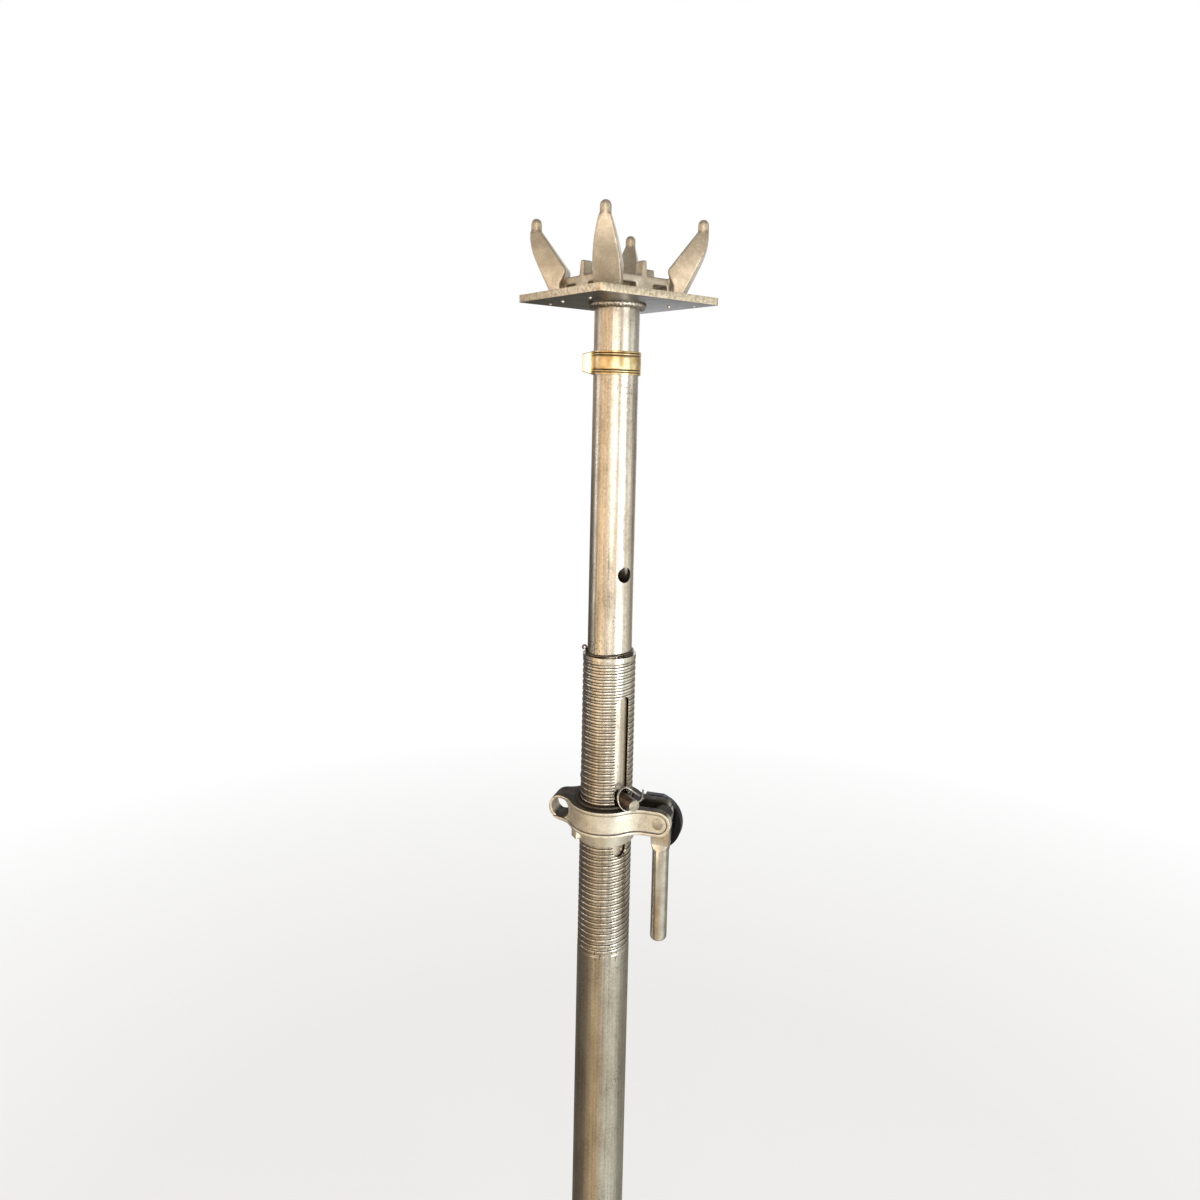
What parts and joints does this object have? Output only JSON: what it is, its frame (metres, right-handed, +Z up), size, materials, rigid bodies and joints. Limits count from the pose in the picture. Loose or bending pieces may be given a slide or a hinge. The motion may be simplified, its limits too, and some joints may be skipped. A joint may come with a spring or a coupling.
{
  "type": "adjustable steel prop",
  "caption": "Telescopic steel shoring prop with a forked head plate, a threaded outer tube, a cast collar nut with a hinged turning handle, a locking pin and a stop band.",
  "frame": {"origin": "centre of the base plate's underside, on the floor", "axes": "+Z up along the tubes; the locking pin's free end and the pin slots face -Y"},
  "size_m": [0.2, 0.2, 1.958],
  "materials": {
    "galvanised_tube": "satin",
    "galvanised_plate": "satin",
    "cast_zinc": "matte",
    "yellow_zinc": "satin",
    "turned_steel": "satin",
    "dark_steel": "satin",
    "spring_wire": "satin",
    "weld_bead": "matte",
    "black_paint": "gloss"
  },
  "bodies": {
    "outer": {"base_plate": "galvanised_plate", "base_weld": "weld_bead", "outer_tube": "galvanised_tube", "keeper_ring": "spring_wire"},
    "inner": {"inner_tube": "galvanised_tube", "foot_guide": "weld_bead", "head_plate": "galvanised_plate", "head_weld": "weld_bead", "crown": "cast_zinc", "stop_band": "yellow_zinc"},
    "nut": {"collar_nut": "cast_zinc", "hinge_pin": "turned_steel", "hinge_guard": "black_paint"},
    "handle": {"handle": "turned_steel"},
    "pin": {"locking_pin": "dark_steel", "pin_clip": "spring_wire"}
  },
  "joints": [
    {"name": "lift", "type": "slide", "parent": "outer", "child": "inner", "axis": [0, 0, 1], "range_m": [-0.0775, 0.1345]},
    {"name": "nut_spin", "type": "hinge", "parent": "inner", "child": "nut", "pos_m": [0, 0, 1.12], "axis": [0, 0, 1], "range_deg": [-3270, 5670]},
    {"name": "handle_swing", "type": "hinge", "parent": "nut", "child": "handle", "pos_m": [0.04937, -0.06796, 1.1157], "axis": [-0.809, -0.5878, 0], "range_deg": [-8, 95]},
    {"name": "pin_slide", "type": "slide", "parent": "inner", "child": "pin", "axis": [0, 1, 0], "range_m": [-0.003, 0.003]}
  ],
  "couplings": [
    {"joint": "lift", "follows": "nut_spin", "m_per_rad": 0.0013528}
  ]
}
